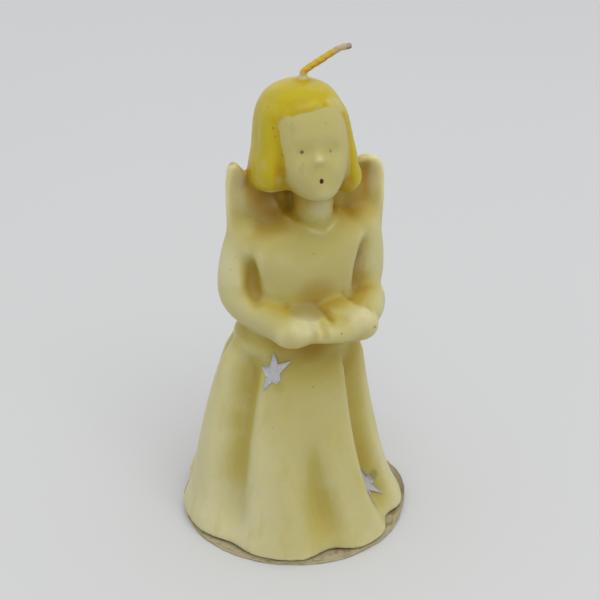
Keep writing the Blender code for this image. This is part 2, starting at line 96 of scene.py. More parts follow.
def limb(stations, rings=40, columns=40, relief=None):
    # A tube along a smooth line. A station is x, y, z, the radius across and the radius
    # up and down; both ends are rounded off by a quarter circle. relief gives a factor on the
    # radius from the way along the line and the angle round it.
    rows = splined(stations, rings)
    line, across, upright = rows[:, :3], rows[:, 3:4], rows[:, 4:5]
    along = np.gradient(line, axis=0)
    along /= np.linalg.norm(along, axis=1, keepdims=True)
    side = np.cross(along, (0.0, 0.0, 1.0))
    side /= np.maximum(np.linalg.norm(side, axis=1, keepdims=True), 1e-6)
    up = np.cross(side, along)
    turn = np.radians([80, 60, 40, 20])[:, None]
    ends = []
    for end, outward, aim in ((0, -1, turn), (-1, 1, turn[::-1])):
        ends.append((line[end] + outward * along[end] * across[end] * np.sin(aim),
                     across[end] * np.cos(aim), upright[end] * np.cos(aim)))
    first, last = ends
    line = np.vstack([first[0], line, last[0]])
    across = np.vstack([first[1], across, last[1]])
    upright = np.vstack([first[2], upright, last[2]])
    side, up = (np.vstack([np.repeat(rows[:1], 4, 0), rows, np.repeat(rows[-1:], 4, 0)])
                for rows in (side, up))
    angle = anglesRound(columns)[None, :, None]
    grow = 1.0
    if relief:
        way = np.concatenate([[0.0], np.cumsum(np.linalg.norm(np.diff(line, axis=0), axis=1))])
        grow = relief(way[:, None, None], angle)
    return line[:, None] + grow * (side[:, None] * np.cos(angle) * across[:, None]
                                   + up[:, None] * np.sin(angle) * upright[:, None])


def turned(points, degreesX=0.0, degreesY=0.0, degreesZ=0.0, about=(0.0, 0.0, 0.0)):
    result = np.asarray(points, float) - about
    for axis, degrees in ((0, degreesX), (1, degreesY), (2, degreesZ)):
        c, s = math.cos(math.radians(degrees)), math.sin(math.radians(degrees))
        i, j = ((1, 2), (2, 0), (0, 1))[axis]
        first, second = result[..., i].copy(), result[..., j].copy()
        result[..., i] = c * first - s * second
        result[..., j] = s * first + c * second
    return result + about


def ball(middle, radii, square=2.0, rings=32, columns=48):
    # Superellipsoid: latitude by longitude.
    latitude = np.linspace(-89.0, 89.0, rings)[:, None] * math.pi / 180
    longitude = anglesRound(columns)[None, :]
    power = 2 / square
    flat = powered(np.cos(latitude), power)
    x = flat * powered(np.cos(longitude), power) * radii[0]
    y = flat * powered(np.sin(longitude), power) * radii[1]
    z = powered(np.sin(latitude), power) * radii[2] + 0 * x
    return np.stack([x, y, z], -1) + middle


def quadsBetween(rings, count):
    ring, spot = np.meshgrid(np.arange(rings - 1), np.arange(count), indexing="ij")
    after = (spot + 1) % count
    return np.stack([ring * count + spot, ring * count + after,
                     (ring + 1) * count + after, (ring + 1) * count + spot], -1).reshape(-1, 4)


def meshOf(name, shells):
    # Quads between the rings of each shell, and a fan to the middle of each end ring.
    points, faces, start = [], [], 0
    for rows in shells:
        ringCount, pointCount = rows.shape[:2]
        quads = quadsBetween(ringCount, pointCount)
        around = np.arange(pointCount)
        nextOne = (around + 1) % pointCount
        top = (ringCount - 1) * pointCount
        end = ringCount * pointCount
        fans = np.concatenate([np.stack([nextOne, around, np.full(pointCount, end)], -1),
                               np.stack([top + around, top + nextOne, np.full(pointCount, end + 1)], -1)])
        faces += (quads + start).tolist() + (fans + start).tolist()
        points += [rows.reshape(-1, 3), rows[0].mean(0)[None], rows[-1].mean(0)[None]]
        start += end + 2
    mesh = bpy.data.meshes.new(name)
    mesh.from_pydata(np.concatenate(points) * mm, [], faces)
    work = bmesh.new()
    work.from_mesh(mesh)
    bmesh.ops.recalc_face_normals(work, faces=work.faces)
    work.to_mesh(mesh)
    work.free()
    return mesh


def objectOf(name, data):
    made = bpy.data.objects.new(name, data)
    bpy.context.scene.collection.objects.link(made)
    return made


def pieceFrom(name, mesh, material, node, smooth=True):
    if smooth:
        mesh.shade_smooth()
    piece = objectOf(name, mesh)
    mesh.materials.clear()
    mesh.materials.append(material)
    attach(piece, "root")
    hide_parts(node)
    return piece


def finished(piece):
    # The piece's modifiers become its mesh.
    graph = bpy.context.evaluated_depsgraph_get()
    mesh = bpy.data.meshes.new_from_object(piece.evaluated_get(graph))
    old = piece.data
    piece.modifiers.clear()
    piece.data = mesh
    bpy.data.meshes.remove(old)
    return mesh


def fused(name, shells, step):
    # One skin round all the shells, with voxels of the given size.
    rough = objectOf(name, meshOf(name, shells))
    skin = rough.modifiers.new("skin", "REMESH")
    skin.mode = "VOXEL"
    skin.voxel_size = step * mm
    mesh = finished(rough)
    bpy.data.objects.remove(rough)
    return mesh


def listed(items, field, width, kind=np.float32):
    values = np.empty(len(items) * width, kind)
    items.foreach_get(field, values)
    return values.reshape(-1, width)


def pointsOf(mesh):
    return listed(mesh.vertices, "co", 3).astype(float) / mm


def normalsOf(mesh):
    return listed(mesh.vertex_normals, "vector", 3).astype(float)


def setPoints(mesh, points):
    mesh.vertices.foreach_set("co", (points * mm).astype(np.float32).ravel())
    mesh.update()


def edgesOf(mesh):
    return listed(mesh.edges, "vertices", 2, np.int32)


def relaxed(values, edges, rounds, amount):
    # Each value goes part of the way to the mean of its neighbours, round after round.
    values = np.array(values, float)
    flat = values.reshape(len(values), -1)
    first, second = edges.T
    near = np.maximum(np.bincount(edges.ravel(), minlength=len(flat)), 1)
    for _ in range(rounds):
        for k in range(flat.shape[1]):
            column = flat[:, k]
            total = np.bincount(first, column[second], len(flat))
            total += np.bincount(second, column[first], len(flat))
            flat[:, k] = column + amount * (total / near - column)
    return values


def keep(mesh, name, values):
    layer = mesh.attributes.new(name, "FLOAT", "POINT")
    layer.data.foreach_set("value", np.asarray(values, np.float32))


def openness(points, normals, directions=72, cell=0.9):
    # The share of the sky that each point sees: the points are dropped on a grid along many
    # directions, and a point counts as seen where it is the nearest in its cell.
    number = np.arange(directions) + 0.5
    height = 1.0 - 1.15 * number / directions
    turn = number * math.pi * (3.0 - math.sqrt(5.0))
    flat = np.sqrt(1 - height ** 2)
    seen, possible = np.zeros(len(points)), np.zeros(len(points))
    for direction in np.stack([flat * np.cos(turn), flat * np.sin(turn), height], -1):
        side = np.cross(direction, (0.31, 0.2, 0.93))
        side /= np.linalg.norm(side)
        up = np.cross(side, direction)
        grid = np.stack([points @ side, points @ up], -1) / cell
        grid = (grid - grid.min(0)).astype(int)
        spot = grid[:, 0] * (grid[:, 1].max() + 1) + grid[:, 1]
        depth = points @ direction
        nearest = np.full(spot.max() + 1, -1e9)
        np.maximum.at(nearest, spot, depth)
        facing = np.maximum(normals @ direction, 0.0)
        seen += facing * (depth > nearest[spot] - 2.2 * cell)
        possible += facing
    return seen / np.maximum(possible, 1e-6)


# The wax figure

figure = {
    "bottom": 1.1,           # underside of the wax above the table
    "skirtHeight": 46.0,
    "torsoHeight": 34.0,
    "lean": 3.0,             # the upper body stands this far to the figure's left
    "skinStep": 0.53,        # voxel size of the skin
    "creaseRounds": 7,       # how far creases and edges are rounded
}
waistLevel = figure["bottom"] + figure["skirtHeight"]
neckLevel = waistLevel + figure["torsoHeight"]
lean = figure["lean"]

skirt = {
    "hemWidth": 58.8, "hemDepth": 60.8, "waistWidth": 36.8, "waistDepth": 28.0,
    "flare": 0.85, "sway": -2.1, "hemRound": 0.9, "hemSwell": 0.6,
    "right": {"more": 0.7, "angle": -85, "spread": 35},   # wider hem on the right, in degrees
    "left": {"less": 1.9, "angle": 97, "spread": 34},     # and less wax low on the left
    "valleys": (-152.0, -112.0, -54.0, 2.5, 47.0, 92.0, 136.0, 180.0),  # degrees from the front
    "hemCut": (2.6, 1.2, 2.0, 3.3, 3.0, 2.6, 2.6, 2.6),                 # depth of each at the hem
    "lowCut": (4.6, 3.2, 4.8, 4.8, 6.0, 4.8, 4.8, 4.8),                 # at a fifth of the height
    "topCut": (3.2, 3.0, 5.0, 0.0, 3.8, 3.2, 3.2, 3.2),                 # at the waist
}

torso = {
    "chestWidth": 25.2, "chestDepth": 21.6, "chestAside": 1.7,
    "shoulderWidth": 33.0, "shoulderDepth": 16.0,
}

head = {
    "pivot": (lean, -0.6, 102.9), "tilt": 15.0, "faceMiddle": -1.5, "hairMiddle": -1.4,
    "openFrom": -8.2, "openTo": 8.9, "openRound": 1.0, "openSpread": 0.9,
    "fringeX": (-9.0, -7.0, -3.0, 0.5, 2.2, 4.6, 6.6, 8.6),
    "fringeZ": (5.2, 5.9, 6.4, 6.9, 7.2, 7.2, 6.2, 3.8),
    "eyeX": 3.4, "eyeZ": -2.2, "noseZ": -4.2, "mouthZ": -9.0,
}


def middleX(level):  # straight up to the waist, then leaning over
    return lean * eased((level - waistLevel) / (0.35 * figure["torsoHeight"]))


def skirtShell():
    # Ring by angle: an ellipse that narrows upwards, less a cut at each valley. The cut's depth
    # goes from its hem value to its low value and then to its top value.
    share = np.concatenate([np.linspace(0.0, 0.06, 9), np.linspace(0.08, 1.28, 70)])[:, None]
    angle = np.linspace(-math.pi, math.pi, 288, endpoint=False)[None, :]
    level = figure["bottom"] + figure["skirtHeight"] * share
    taper = np.minimum(1.0, share) ** skirt["flare"]
    halfWidth = mixed(skirt["hemWidth"], skirt["waistWidth"], taper) / 2
    halfDepth = mixed(skirt["hemDepth"], skirt["waistDepth"], taper) / 2
    right, left = skirt["right"], skirt["left"]
    swell = skirt["hemSwell"] + right["more"] * hill(np.degrees(angle) - right["angle"], right["spread"])
    swell = swell * hill(share - 0.05, 0.09)
    rise = np.minimum(1.0, figure["skirtHeight"] * share / skirt["hemRound"])
    tuck = skirt["hemRound"] * (1 - np.sqrt(1 - (1 - rise) ** 2)) * 0.8
    dome = mixed(1.0, 0.6, eased((share - 0.94) / 0.34))
    x = np.sin(angle) * (halfWidth + swell - tuck) * dome
    y = -np.cos(angle) * (halfDepth + swell - tuck) * dome
    valleys = np.radians(skirt["valleys"])
    order = np.arange(len(valleys))
    stops = np.concatenate([[valleys[-1] - 2 * math.pi], valleys])
    phase = np.interp(angle, stops, np.concatenate([[-1], order]))
    cuts = []
    for name in ("hemCut", "lowCut", "topCut"):
        depth = np.array(skirt[name])
        cuts.append(depth[np.round(phase).astype(int) % len(depth)])
    low = mixed(cuts[0], cuts[1], eased(share / 0.2))
    cut = mixed(low, cuts[2], eased((share - 0.2) / 0.62)) * (1 - eased((share - 0.95) / 0.28))
    narrow = mixed(2.4, 1.7, np.minimum(1.0, share))
    wave = (0.5 + 0.5 * np.cos(2 * math.pi * phase)) ** narrow
    leftSide = left["less"] * hill(np.degrees(angle) - left["angle"], left["spread"])
    leftSide = leftSide * eased(1 - share / 0.6)
    length = np.hypot(x, y)
    inward = 1 - (wave * cut + leftSide) / length
    sway = skirt["sway"] * np.sin(0.88 * math.pi * np.minimum(1.0, share) ** 0.9)
    return np.stack([x * inward + sway + middleX(level), y * inward, level + 0 * x], -1)


def torsoShell():
    chest, depth = torso["chestWidth"] / 2, torso["chestDepth"] / 2
    waist, waistDeep = skirt["waistWidth"] / 2, skirt["waistDepth"] / 2
    shoulder, shoulderDeep = torso["shoulderWidth"] / 2, torso["shoulderDepth"] / 2
    rows = ((-0.12, 0.78 * waist, 0.78 * waistDeep, 2.0, 0.0),
            (0.04, 0.8 * waist, 0.84 * waistDeep, 2.0, 0.0),
            (0.13, mixed(chest, waist, 0.6), mixed(depth, waistDeep, 0.5), 2.2, 0.0),
            (0.24, mixed(chest, waist, 0.25), mixed(depth, waistDeep, 0.2), 2.6, 0.0),
            (0.45, chest, depth, 3.0, 0.2),
            (0.64, 1.04 * chest, 0.98 * depth, 2.9, 0.4),
            (0.78, mixed(chest, shoulder, 0.6), 0.94 * depth, 2.7, 0.6),
            (0.88, shoulder, 0.84 * depth, 2.5, 0.8),
            (0.96, 0.86 * shoulder, shoulderDeep, 2.2, 0.9),
            (1.03, 0.6 * shoulder, 0.8 * shoulderDeep, 2.0, 1.0),
            (1.10, 0.36 * shoulder, 0.6 * shoulderDeep, 2.0, 1.2))
    stations = []
    for share, width, deep, square, shift in rows:
        level = waistLevel + share * figure["torsoHeight"]
        aside = torso["chestAside"] * float(eased(share / 0.4) * eased((1.1 - share) / 0.3))
        middle = float(middleX(level)) - aside
        stations.append((level, middle, shift, width, deep, square))
    return stack(stations, 70, 128)


def neckShell():
    x, y = lean + 1.2, -1.8
    return stack([
        (neckLevel - 4.0, x, y + 1.5, 5.6, 5.4, 2.0), (neckLevel - 0.5, x, y + 0.3, 6.0, 5.8, 2.0),
        (neckLevel + 2.0, x, y, 5.2, 5.1, 2.0), (neckLevel + 6.0, x, y, 4.9, 5.0, 2.0),
        (neckLevel + 11.0, x, y, 5.0, 5.2, 2.0)], 24, 48)


def onHead(points):  # from the head's own upright axes to the tilted head
    return turned(points, degreesX=-head["tilt"]) + head["pivot"]


def faceOpening(x, z):
    # How far inside the gap in the hair a place of the face is: the lowest of the ways to the
    # two side locks and to the fringe, with rounded corners.
    spread = head["openSpread"] * eased((2.0 - z) / 12.0)
    side = softMin(x - head["openFrom"] + spread, head["openTo"] - x, head["openRound"])
    fringe = np.interp(x, head["fringeX"], head["fringeZ"])
    return softMin(side, fringe - z, head["openRound"])


def faceShell():
    # A stack with the forehead, cheeks and chin in its stations; brow, sockets, nose, lips and
    # chin are hills pushed forward or back.
    f = head["faceMiddle"]
    rows = stack([
        (-14.3, f + 1.1, -6.5, 0.8, 1.2, 2.0), (-13.9, f + 1.1, -6.0, 3.0, 4.6, 2.0),
        (-12.6, f + 1.0, -5.2, 4.9, 6.5, 2.1), (-10.2, f + 0.7, -4.4, 6.7, 7.9, 2.3),
        (-6.6, f + 0.5, -3.6, 8.4, 8.9, 2.4), (-2.4, f + 0.3, -3.2, 9.0, 9.2, 2.5),
        (2.0, f + 0.2, -3.0, 9.0, 9.4, 2.5), (6.0, f, -2.6, 8.6, 9.3, 2.4),
        (9.5, f, -2.0, 8.0, 8.2, 2.2), (12.0, f, -1.0, 6.5, 6.0, 2.0),
        (13.4, f, 0.0, 3.0, 3.0, 2.0)], 110, 160)
    x, y, z = rows[..., 0] - f, rows[..., 1], rows[..., 2]
    sockets = hill(np.abs(x) - head["eyeX"], 2.0) * hill(z - head["eyeZ"], 1.5)
    brow = hill(z - head["eyeZ"] - 3.6, 2.0) * hill(x, 6.5)
    bridge = hill(x, 1.1) * eased((z - head["noseZ"]) / 1.2 + 1) * eased((head["eyeZ"] + 1.5 - z) / 3.0)
    tip = hill(x, 1.25) * hill(z - head["noseZ"], 1.1)
    wingsOfNose = hill(np.abs(x) - 1.3, 0.7) * hill(z - head["noseZ"] + 0.3, 0.7)
    lips = hill(x, 2.0) * hill(z - head["mouthZ"], 1.3)
    mouth = hill(x, 0.75) * hill(z - head["mouthZ"], 0.75)
    chin = hill(x - 1.0, 2.6) * hill(z + 12.0, 1.6)
    cheeks = hill(np.abs(x) - 4.4, 2.4) * hill(z + 6.4, 2.6)
    forward = (0.25 * brow - 0.65 * sockets + 0.6 * bridge + 0.85 * tip + 0.35 * wingsOfNose + 0.45 * lips
               - 0.55 * mouth + 0.5 * chin + 0.45 * cheeks)
    rows[..., 1] = y - forward * eased((-6.0 - y) / 3.0)
    return onHead(rows)


def hairShell():
    # A bobbed cap as a stack, drawn in behind the face wherever the face shows.
    h = head["hairMiddle"]
    rows = stack([
        (-11.4, h, 2.8, 6.6, 6.0, 2.0), (-12.0, h, 2.5, 9.4, 8.8, 2.0), (-11.6, h, 2.2, 11.2, 10.6, 2.1),
        (-9.8, h, 1.7, 12.6, 11.7, 2.2), (-7.4, h, 1.4, 12.9, 12.2, 2.2), (-4.6, h, 1.2, 12.5, 12.4, 2.2),
        (-1.5, h, 1.0, 11.6, 12.5, 2.2), (2.5, h, 0.9, 11.0, 12.6, 2.15), (6.2, h, 0.8, 10.3, 12.2, 2.1),
        (9.0, h, 0.8, 9.2, 11.0, 2.05), (11.4, h, 0.8, 7.4, 8.8, 2.0), (12.9, h, 0.8, 4.9, 5.8, 2.0),
        (13.8, h, 0.8, 2.0, 2.3, 2.0)], 130, 240)
    x, y, z = rows[..., 0], rows[..., 1], rows[..., 2]
    opening = faceOpening(x - head["faceMiddle"], z)
    front = eased((-1.0 - y) / 3.0)
    lip = 0.7 * hill(opening + 1.5, 1.5) * front
    inside = eased((opening + 0.3) / 1.3) * front
    scale = 1 + lip / 12.0 - 0.34 * inside
    rows[..., 0] = h + (x - h) * scale
    rows[..., 1] = 1.0 + (y - 1.0) * scale
    return onHead(rows)


arms = {
    "span": 15.8, "shoulderDrop": 4.0, "gripDrop": 22.0,
    "right": {"elbowDrop": 19.2, "tuck": -0.6},  # how far the elbow hangs and is drawn in
    "left": {"elbowDrop": 23.0, "tuck": 2.2},
}
grip = neckLevel - arms["gripDrop"]  # level of the hands


def armShell(side, arm):
    # Sleeve, elbow, forearm and wrist along one line. side is -1 on the figure's right.
    span, tuck = arms["span"], arm["tuck"]
    shoulder, elbow = neckLevel - arms["shoulderDrop"], neckLevel - arm["elbowDrop"]
    return limb([
        (lean + side * (span - 1.2), 2.2, shoulder, 5.1, 5.2),
        (lean + side * (span + 0.6 - 0.4 * tuck), 1.4, mixed(shoulder, elbow, 0.5), 5.2, 5.4),
        (lean + side * (span + 0.5 - tuck), 0.0, mixed(shoulder, elbow, 0.88), 5.3, 5.4),
        (lean + side * (span - 1.3), -4.2, mixed(elbow, grip, 0.45), 4.9, 5.0),
        (lean + side * (span - 5.0), -11.4, mixed(elbow, grip, 0.75), 4.3, 4.3),
        (lean + side * (span - 8.5 - 1.5 * side), -16.5, grip + 0.5, 4.0, 3.9),
        (lean + side * 4.5, -17.8, grip + 0.9, 3.2, 2.6)], 60, 48)


def handShells():
    # Two palms, the fingers that meet under the book, its two leaves and the wax behind them.
    shells = [ball((lean - 9.2, -16.4, grip + 0.5), (4.4, 3.8, 3.7)),
              ball((lean + 7.6, -16.2, grip + 0.2), (5.4, 4.0, 4.2), 2.4)]
    shells.append(limb([
        (lean - 6.5, -17.8, grip + 0.9, 2.4, 2.3), (lean - 2.0, -19.0, grip + 0.6, 2.6, 2.5),
        (lean + 3.0, -19.0, grip + 0.2, 2.8, 2.6), (lean + 8.0, -17.0, grip + 0.3, 3.0, 3.0)], 24, 32))
    for place, high in ((-6.2, 1.9), (-3.6, 2.0), (-1.0, 1.9), (1.6, 1.8)):  # knuckles over the edge
        shells.append(ball((lean + place, -18.0, grip + high), (1.5, 2.2, 1.9)))
    shells.append(ball((lean + 8.2, -16.6, grip + 2.6), (2.6, 3.0, 2.2)))
    for radii, square, slope, x, y in (((4.2, 4.6, 0.9), 4.0, 5.0, -4.1, -13.8),
                                       ((4.0, 4.2, 1.5), 2.5, -9.0, 3.6, -13.2)):
        leaf = turned(ball((0.0, 0.0, 0.0), radii, square), degreesY=slope)
        shells.append(leaf + (lean + x, y, grip + 3.5))
    for x, y, high, radii in ((6.2, -14.6, 4.0, (1.9, 2.4, 1.3)), (0.0, -9.0, -0.6, (12.0, 8.6, 4.8)),
                              (0.5, -14.6, 0.6, (9.0, 4.0, 3.0))):
        shells.append(ball((lean + x, y, grip + high), radii))
    return shells


wings = {  # level, inner edge and outer edge, each in the figure's own frame
    "right": ((68.0, -7.5, -15.0), (76.0, -8.4, -16.4), (84.0, -8.9, -16.7), (89.2, -9.3, -16.6),
              (93.4, -11.0, -16.4), (95.6, -12.3, -16.0), (96.8, -13.2, -15.4), (97.2, -14.0, -14.7)),
    "left": ((68.0, 11.5, 22.0), (76.0, 11.2, 23.6), (82.0, 11.4, 24.0), (88.0, 12.6, 24.0),
             (91.0, 14.0, 23.8), (93.2, 15.4, 23.0), (94.4, 16.6, 21.8), (94.9, 17.8, 20.4)),
    "thickness": 3.4, "forward": 2.6, "turn": 10.0, "cup": 1.1,
}


def wingShell(side, table):
    # A short upright wing: a flat superellipse that rises between the two edges, its face
    # hollowed a little and its outer edge turned forward.
    level, inner, outer = splined(table, 60).T
    share = (level - level[0]) / (level[-1] - level[0])
    middle, half = (inner + outer) / 2, np.abs(outer - inner) / 2
    thickness = wings["thickness"] / 2 * (1.15 - 0.3 * share)
    rows = stack(np.stack([level, middle, 0 * level, half, thickness, 2.8 + 0 * level], -1), 60, 72)
    across = (rows[..., 0] - middle[:, None]) / half.max()
    hollow = wings["cup"] * (1 - across ** 2) * eased((level - 78.0) / 8.0)[:, None]
    hollow = hollow * eased((1 - share) / 0.25)[:, None]
    rows[..., 1] += hollow * (rows[..., 1] < 0) + wings["forward"]
    about = ((inner + outer).mean() / 2, wings["forward"], 0.0)
    return turned(rows, degreesZ=-side * wings["turn"], about=about)


lobeMiddle, lobeRadii = (8.4, -1.4, -10.0), (3.5, 5.6, 4.4)  # lower end of the hair's left lock
fills = (  # wax between the shoulders, and between the hair and the right shoulder: middle and radii
    ((lean, 4.8, neckLevel + 2.0), (13.4, 4.4, 10.5)), ((-6.6, 2.8, 86.6), (6.4, 3.8, 6.4)),
)

wick = {
    "radius": 0.8, "lean": 2.1, "root": 117.4, "rise": 7.2, "reach": 10.5, "turn": -18.0,
    "bend": ((0.0, 0.0), (0.03, 0.16), (0.18, 0.34), (0.37, 0.52), (0.59, 0.74), (0.81, 0.93), (1.0, 1.0)),
}


def waxShells():
    shells = [skirtShell(), torsoShell(), neckShell(), faceShell(), hairShell()]
    shells += [armShell(-1, arms["right"]), armShell(1, arms["left"])]
    shells += handShells()
    shells += [wingShell(-1, wings["right"]), wingShell(1, wings["left"])]
    shells += [ball(middle, radii) for middle, radii in fills]
    shells.append(onHead(ball(lobeMiddle, lobeRadii)))
    x = wick["lean"]  # the collar is wax drawn up round the wick
    collar = ((x, 0.0, 114.5, 2.4, 2.4), (x, 0.0, 116.4, 1.6, 1.6), (x + 0.2, 0.0, 117.9, 1.05, 1.05))
    shells.append(limb(collar, 12, 24))
    return shells


waxMesh = fused("waxFigure", waxShells(), figure["skinStep"])
waxEdges = edgesOf(waxMesh)
waxPoints = relaxed(pointsOf(waxMesh), waxEdges, figure["creaseRounds"], 0.5)
waxPoints[:, 2] = np.maximum(waxPoints[:, 2], figure["bottom"])
setPoints(waxMesh, waxPoints)

neckline = {
    "x": (-6.0, -4.4, -3.3, -2.5, -0.9, 1.3, 3.1, 4.9, 6.4, 7.9, 9.4, 11.1, 12.5),
    "z": (88.0, 85.4, 83.9, 83.4, 82.5, 81.6, 80.9, 80.1, 81.0, 81.8, 82.5, 83.2, 84.5),
    "middle": (lean + 1.2, -1.0), "reach": 10.5, "ridge": 0.34, "width": 1.0, "sunk": 0.45,
}
creases = (  # lines pressed into the wax: points, depth and width
    (((-12.0, -4.6, 79.0), (-12.4, -4.6, 73.0), (-12.4, -5.4, 67.0), (-11.2, -8.0, 63.0)), 1.5, 1.7),
    (((15.2, -3.6, 77.0), (15.4, -3.6, 71.0), (15.0, -4.6, 65.0), (14.2, -7.0, 61.5)), 0.8, 1.9),
    (((18.2, 1.5, 93.6), (18.4, 1.5, 91.0), (18.5, 1.6, 86.0), (18.3, 1.2, 80.0)), 1.1, 2.0),
    (((2.0, -10.0, 63.6), (2.6, -13.0, 63.4), (3.2, -16.0, 63.2), (3.9, -19.6, 62.2)), 0.9, 0.7),
    (((-2.0, -18.0, 63.2), (-1.7, -20.4, 61.6), (-1.5, -21.4, 59.4)), 0.6, 0.55),
    (((0.7, -18.4, 63.2), (1.0, -20.8, 61.4), (1.2, -21.8, 59.2)), 0.6, 0.55),
    (((-4.5, -17.0, 63.2), (-4.6, -19.4, 61.8), (-4.6, -20.4, 60.0)), 0.5, 0.55),
    (((-6.4, -10.4, 62.8), (-3.6, -9.9, 63.2), (-0.4, -10.3, 63.2), (2.6, -10.6, 63.2)), 0.7, 0.6),
    (((3.8, -9.6, 63.8), (6.4, -8.9, 64.2), (9.0, -9.2, 64.4), (11.4, -11.0, 63.8)), 0.7, 0.6),
    (((7.6, -16.6, 63.0), (7.4, -19.2, 61.4), (7.6, -20.6, 59.0)), 0.5, 0.6),
    (((13.4, -13.6, 63.4), (14.0, -16.4, 62.4), (14.6, -18.4, 60.4)), 0.5, 0.7),
)
softened = (  # where one form melts into the next: middle, reach and how far
    ((-13.0, -1.0, 82.0), 5.0, 1.0), ((18.0, -1.0, 81.0), 5.0, 0.9), ((5.0, -9.5, 63.5), 3.5, 0.5),
    ((15.5, -8.0, 53.0), 6.5, 1.0), ((-13.5, -8.0, 55.0), 6.5, 0.9), ((1.0, -14.0, 53.0), 6.0, 0.9),
)


def addNeckline(points, normals):
    # The dress's edge is where a sheet bent to the line above meets the skin. The way to it is
    # the height over the sheet, divided by how fast that height changes along the skin.
    x, y, z = points.T
    height = np.interp(x, neckline["x"], neckline["z"])
    after, before = (np.interp(x + way, neckline["x"], neckline["z"]) for way in (0.4, -0.4))
    rise = np.stack([-(after - before) / 0.8, 0 * x, 1 + 0 * x], -1)
    rise -= normals * (rise * normals).sum(1)[:, None]
    away = (z - height) / np.maximum(np.linalg.norm(rise, axis=1), 0.4)
    reach = np.hypot(x - neckline["middle"][0], y - neckline["middle"][1])
    here = eased((neckline["reach"] - reach) / 2) * eased((2.0 - y) / 4) * (z > 76.0) * (z < 90.0)
    height = neckline["ridge"] * hill(away, neckline["width"])
    height = height - neckline["sunk"] * eased(away / 1.2) * eased((5.0 - away) / 4.0)
    return points + normals * (height * here)[:, None]


def pressCrease(points, normals, line, depth, width):
    line = splined(line, 80)
    low, high = line.min(0) - 3 * width, line.max(0) + 3 * width
    near = np.flatnonzero(((points > low) & (points < high)).all(1))
    away = np.linalg.norm(points[near, None, :] - line[None], axis=-1)
    fade = np.sin(np.linspace(0.0, math.pi, len(line))) ** 0.6  # shallow towards both ends
    result = points.copy()
    result[near] -= normals[near] * (depth * hill(away.min(1), width) * fade[away.argmin(1)])[:, None]
    return result


waxPoints = addNeckline(waxPoints, normalsOf(waxMesh))
for crease in creases:
    waxPoints = pressCrease(waxPoints, normalsOf(waxMesh), *crease)
waxPoints = relaxed(waxPoints, waxEdges, 2, 0.5)
melted = relaxed(waxPoints, waxEdges, 45, 0.6)
soft = sum(amount * hill(np.linalg.norm(waxPoints - middle, axis=1), reach)
           for middle, reach, amount in softened)
waxPoints = mixed(waxPoints, melted, np.clip(soft, 0.0, 1.0)[:, None])
setPoints(waxMesh, waxPoints)
print("wax skin:", len(waxMesh.vertices), "points,", 2 * len(waxMesh.polygons), "triangles")


def insideHair(points):
    # How far inside the painted hair a place is: the least of the ways to the face's edge, to
    # the bob's lower edge, to the collar round the wick and to the cap's own outline.
    own = turned(points - np.array(head["pivot"]), degreesX=head["tilt"])
    x, y, z = own.T
    opening = faceOpening(x - head["faceMiddle"], z)
    front = eased((0.5 - y) / 3.0)
    aside = x - head["faceMiddle"]
    opening = np.minimum(opening, aside + 7.7 - 0.10 * np.maximum(2.0 - z, 0.0))
    toFace = mixed(6.0 + 0 * x, -opening, front)
    levels = (-12.0, -9.8, -7.4, -4.6, -1.5, 2.5, 6.2, 9.0, 11.4, 13.8)
    halfWidth = np.interp(z, levels, (12.8, 12.9, 13.1, 12.7, 11.8, 11.2, 10.5, 9.4, 7.6, 3.0))
    halfDepth = np.interp(z, levels, (11.6, 12.6, 12.9, 13.0, 13.0, 13.0, 12.6, 11.4, 9.2, 3.4))
    outline = 40.0 * (1.03 - np.hypot((x - head["hairMiddle"]) / halfWidth, (y - 1.0) / halfDepth))
    outline += 20.0 * eased(z / 6.0) + 20.0 * eased((-0.5 - y) / 2.5)  # needed next to the wings alone
    lobe = 4.0 * (1.12 - np.linalg.norm((own - lobeMiddle) / lobeRadii, axis=1))
    collar = np.hypot(points[:, 0] - wick["lean"], points[:, 1]) - 1.5
    inside = np.minimum.reduce([toFace, z + 11.2 + 2.4 * eased((x - 2.0) / 4.0), outline, collar])
    return np.maximum(inside, lobe)


def shaded(mesh):
    # What the shader needs to know of each place: how much of the sky it sees, whether it is a
    # small bulge or in a wide hollow, and how far inside the hair it lies.
    points, normals, edges = pointsOf(mesh), normalsOf(mesh), edgesOf(mesh)
    keep(mesh, "open", relaxed(openness(points, normals), edges, 6, 0.5))
    wide = relaxed(points, edges, 14, 0.6)
    keep(mesh, "bulge", relaxed(((points - wide) * normals).sum(1), edges, 2, 0.5))
    wider = relaxed(wide, edges, 90, 0.8)
    keep(mesh, "hollow", relaxed(((wider - wide) * normals).sum(1), edges, 6, 0.5))
    keep(mesh, "hairInside", insideHair(points))


shaded(waxMesh)


# Materials

